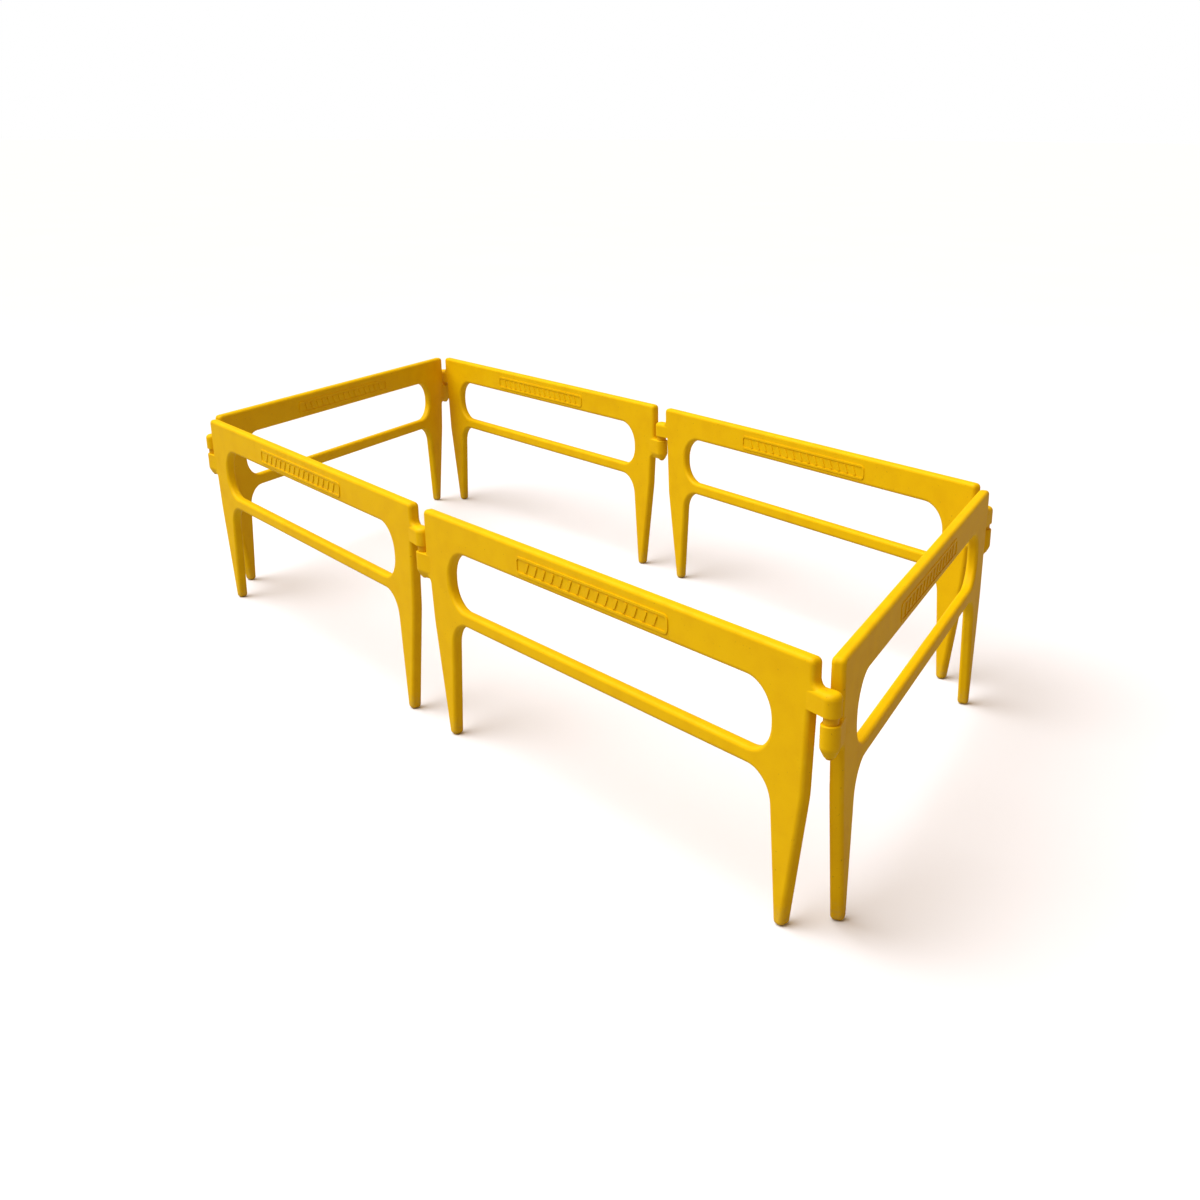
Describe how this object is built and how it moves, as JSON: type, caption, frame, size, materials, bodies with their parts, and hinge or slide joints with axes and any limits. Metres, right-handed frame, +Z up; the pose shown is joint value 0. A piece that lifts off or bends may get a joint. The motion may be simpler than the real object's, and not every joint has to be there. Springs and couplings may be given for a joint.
{
  "type": "hinged ring barrier",
  "caption": "Low ring barrier of hinged moulded panels, each with a top rail, a window, a mid rail and two tapered legs, joined by lug and socket pin hinges.",
  "frame": {"origin": "middle of the ring, on the ground", "axes": "+X along the ring's long sides, +Y from the front long side to the back one, +Z up"},
  "size_m": [3.0144, 1.1244, 0.485],
  "materials": {
    "panel": "satin moulded polyethylene, signal yellow, fine grain",
    "pin": "satin moulded polyethylene, signal yellow"
  },
  "bodies": {
    "panel_front_left": {"panel_front_left": "panel", "hinge_pin_front_left": "pin"},
    "panel_front_right": {"panel_front_right": "panel", "hinge_pin_front_right": "pin"},
    "panel_right_end": {"panel_right_end": "panel", "hinge_pin_right_end": "pin"},
    "panel_back_right": {"panel_back_right": "panel", "hinge_pin_back_right": "pin"},
    "panel_back_left": {"panel_back_left": "panel", "hinge_pin_back_left": "pin"},
    "panel_left_end": {"panel_left_end": "panel"},
    "hinge_pin_left_end": {"hinge_pin_left_end": "pin"}
  },
  "joints": [
    {"name": "front_middle_hinge", "type": "hinge", "parent": "panel_front_left", "child": "panel_front_right", "pos_m": [0.29089, -0.54571, 0], "axis": [0, 0, 1], "range_deg": [-10, 100]},
    {"name": "front_right_corner_hinge", "type": "hinge", "parent": "panel_front_right", "child": "panel_right_end", "pos_m": [1.4907, -0.52477, 0], "axis": [0, 0, 1], "range_deg": [-58, 10]},
    {"name": "front_left_corner_pin", "type": "hinge", "parent": "panel_front_left", "child": "hinge_pin_left_end", "pos_m": [-0.90893, -0.52477, 0], "axis": [0, 0, 1], "range_deg": [-10, 100]},
    {"name": "front_left_corner_hinge", "type": "hinge", "parent": "hinge_pin_left_end", "child": "panel_left_end", "pos_m": [-0.90893, -0.52477, 0], "axis": [0, 0, 1], "range_deg": [-58, 10]},
    {"name": "back_left_corner_hinge", "type": "hinge", "parent": "panel_left_end", "child": "panel_back_left", "pos_m": [-1.4907, 0.52477, 0], "axis": [0, 0, 1], "range_deg": [-10, 58]},
    {"name": "back_middle_hinge", "type": "hinge", "parent": "panel_back_left", "child": "panel_back_right", "pos_m": [-0.29089, 0.54571, 0], "axis": [0, 0, 1], "range_deg": [-100, 10]}
  ],
  "couplings": [
    {"joint": "front_left_corner_pin", "follows": "front_middle_hinge", "ratio": 1},
    {"joint": "front_left_corner_hinge", "follows": "front_right_corner_hinge", "ratio": 1},
    {"joint": "back_left_corner_hinge", "follows": "front_right_corner_hinge", "ratio": -1},
    {"joint": "back_middle_hinge", "follows": "front_middle_hinge", "ratio": -1}
  ]
}
